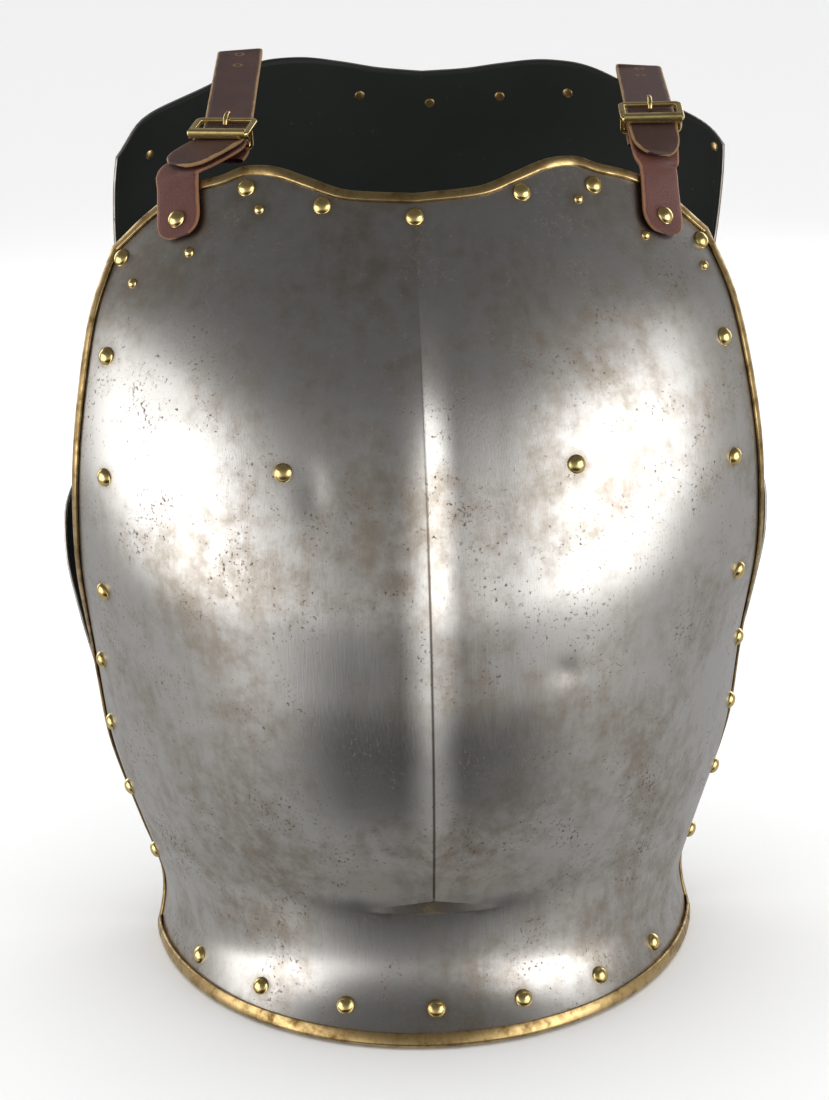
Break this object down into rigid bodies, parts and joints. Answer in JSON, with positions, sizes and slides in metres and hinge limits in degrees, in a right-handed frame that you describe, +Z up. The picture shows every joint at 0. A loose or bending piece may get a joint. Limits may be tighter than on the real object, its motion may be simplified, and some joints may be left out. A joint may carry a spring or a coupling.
{
  "type": "cuirass",
  "caption": "Steel cuirass: ridged breastplate with a flared waist flange, brass binding and rivets, and a backplate black inside, joined by buckled leather shoulder straps.",
  "frame": {"origin": "on the ground, below the middle of the whole part's box, which stands on its waist flanges", "axes": "+Z up through the neck, -Y out of the breast, +X to the wearer's left"},
  "size_m": [0.3726, 0.3428, 0.4578],
  "materials": {
    "bright_steel": "worn satin",
    "blackened_steel": "bright outside, painted black inside",
    "brass": "aged polish",
    "brown_leather": "oiled"
  },
  "bodies": {
    "root": {"back_rivet_1": "brass", "back_rivet_2": "brass", "back_rivet_3": "brass", "back_rivet_4": "brass", "back_rivet_5": "brass", "back_rivet_6": "brass", "back_strap_left": "brown_leather", "back_strap_right": "brown_leather", "backplate": "blackened_steel", "breastplate": "bright_steel", "buckle_left": "brass", "buckle_right": "brass", "buckle_tongue_left": "brass", "buckle_tongue_right": "brass", "chest_rivet_1": "brass", "chest_rivet_2": "brass", "flange_binding": "brass", "flange_rivet_1": "brass", "flange_rivet_2": "brass", "flange_rivet_3": "brass", "flange_rivet_4": "brass", "flange_rivet_5": "brass", "flange_rivet_6": "brass", "flange_rivet_7": "brass", "front_strap_left": "brown_leather", "front_strap_right": "brown_leather", "neck_binding": "brass", "neck_rivet_1": "brass", "neck_rivet_2": "brass", "neck_rivet_3": "brass", "neck_rivet_4": "brass", "neck_rivet_5": "brass", "pin_1": "brass", "pin_2": "brass", "pin_3": "brass", "pin_4": "brass", "pin_5": "brass", "pin_6": "brass", "side_binding_l": "brass", "side_binding_r": "brass", "side_rivet_l1": "brass", "side_rivet_l2": "brass", "side_rivet_l3": "brass", "side_rivet_l4": "brass", "side_rivet_l5": "brass", "side_rivet_l6": "brass", "side_rivet_l7": "brass", "side_rivet_l8": "brass", "side_rivet_r1": "brass", "side_rivet_r2": "brass", "side_rivet_r3": "brass", "side_rivet_r4": "brass", "side_rivet_r5": "brass", "side_rivet_r6": "brass", "side_rivet_r7": "brass", "side_rivet_r8": "brass", "strap_rivet_back_left": "brass", "strap_rivet_back_right": "brass", "strap_rivet_front_left": "brass", "strap_rivet_front_right": "brass"}
  },
  "joints": []
}
